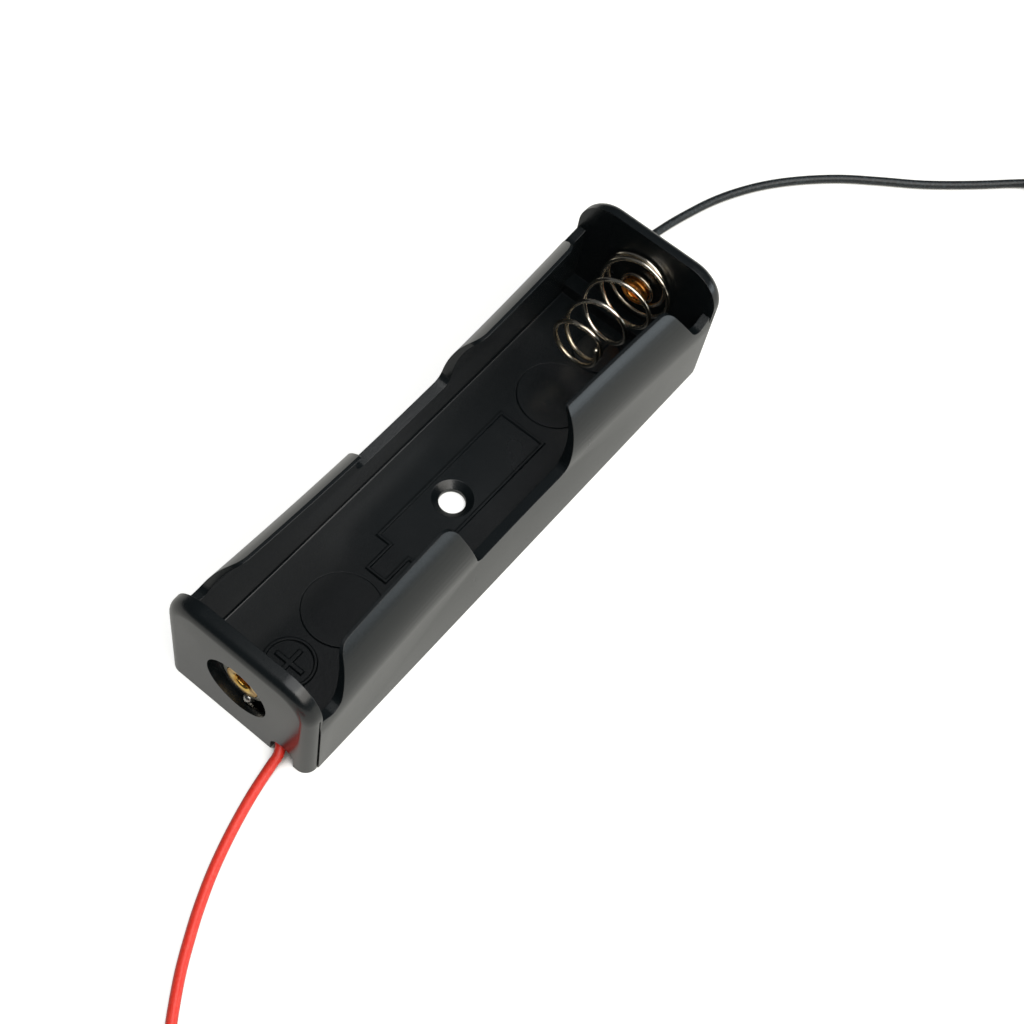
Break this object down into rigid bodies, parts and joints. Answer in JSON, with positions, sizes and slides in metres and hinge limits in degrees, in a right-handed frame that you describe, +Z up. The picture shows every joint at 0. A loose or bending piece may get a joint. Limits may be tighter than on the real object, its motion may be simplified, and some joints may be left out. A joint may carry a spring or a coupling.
{
  "type": "cylindrical cell holder",
  "caption": "Open-topped holder for a round lithium cell, with spring-in lips, a riveted contact at each end, a conical spring and red and black leads.",
  "frame": {"origin": "under the middle of the floor, on the surface that the holder stands on", "axes": "+X along the body to the spring end, where the black wire leaves; +Y to the far side wall; +Z up, out of the open top"},
  "size_m": [0.1831, 0.0516, 0.018],
  "materials": {
    "black_abs": "satin moulded ABS",
    "brass": "bare brass",
    "copper_brass": "reddish brass",
    "tinned_steel": "tin plated",
    "solder": "bright solder",
    "spring_steel": "nickel plated spring wire",
    "red_pvc": "satin PVC insulation",
    "black_pvc": "satin PVC insulation",
    "tinned_copper": "tinned strands"
  },
  "bodies": {
    "holder": {"housing": "black_abs", "positive_rivet": "brass", "negative_rivet": "copper_brass", "positive_solder_tag": "tinned_steel", "negative_solder_tag": "tinned_steel", "positive_solder": "solder", "negative_solder": "solder", "red_wire": "red_pvc", "red_wire_coil": "red_pvc", "red_wire_soldered_end": "tinned_copper", "red_wire_free_end": "tinned_copper", "black_wire": "black_pvc", "black_wire_coil": "black_pvc", "black_wire_soldered_end": "tinned_copper", "black_wire_free_end": "tinned_copper"},
    "spring": {"contact_spring": "spring_steel"}
  },
  "joints": [
    {"name": "spring_compression", "type": "slide", "parent": "holder", "child": "spring", "axis": [1, 0, 0], "range_m": [0, 0.009], "stiffness_N_per_m": 400, "deforming": ["contact_spring"]}
  ]
}
